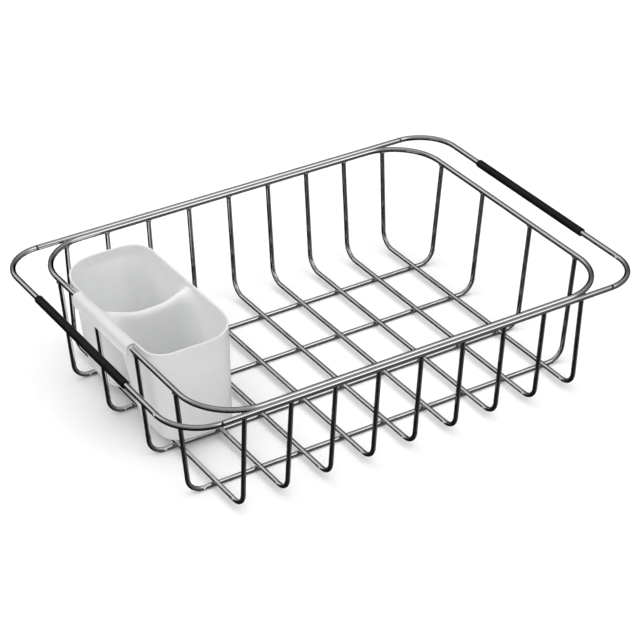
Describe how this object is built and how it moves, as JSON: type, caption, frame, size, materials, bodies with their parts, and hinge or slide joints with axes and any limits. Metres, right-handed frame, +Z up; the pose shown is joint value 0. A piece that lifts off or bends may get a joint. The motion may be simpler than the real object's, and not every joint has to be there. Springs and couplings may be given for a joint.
{
  "type": "dish drying rack",
  "caption": "Over-sink dish drying rack: a chrome wire basket with sliding end arms in rubber sleeves and a lift-out twin-cup cutlery holder hooked on the rim.",
  "frame": {"origin": "on the worktop under the middle of the rack: the centre of the bounding box's underside", "axes": "+X along the rack's length from the cutlery holder's end to the other, +Y to the back, +Z up"},
  "size_m": [0.5692, 0.4006, 0.1345],
  "materials": {
    "chrome_wire": "polished",
    "sleeve_rubber": "matt",
    "holder_plastic": "frosted, slightly see-through"
  },
  "bodies": {
    "basket": {"rim_wire": "chrome_wire", "cross_wire_1": "chrome_wire", "cross_wire_2": "chrome_wire", "cross_wire_3": "chrome_wire", "cross_wire_4": "chrome_wire", "cross_wire_5": "chrome_wire", "cross_wire_6": "chrome_wire", "cross_wire_7": "chrome_wire", "cross_wire_8": "chrome_wire", "cross_wire_9": "chrome_wire", "long_wire_1": "chrome_wire", "long_wire_2": "chrome_wire", "long_wire_3": "chrome_wire", "long_wire_4": "chrome_wire", "guide_tube_front": "chrome_wire", "guide_tube_back": "chrome_wire"},
    "left_arm": {"left_arm": "chrome_wire", "left_sleeve": "sleeve_rubber"},
    "right_arm": {"right_arm": "chrome_wire", "right_sleeve": "sleeve_rubber"},
    "cutlery_holder": {"cutlery_holder": "holder_plastic"}
  },
  "joints": [
    {"name": "left_arm_slide", "type": "slide", "parent": "basket", "child": "left_arm", "axis": [-1, 0, 0], "range_m": [0, 0.11]},
    {"name": "right_arm_slide", "type": "slide", "parent": "basket", "child": "right_arm", "axis": [1, 0, 0], "range_m": [0, 0.11]},
    {"name": "holder_lift", "type": "slide", "parent": "basket", "child": "cutlery_holder", "axis": [0, 0, 1], "range_m": [0, 0.15]}
  ]
}
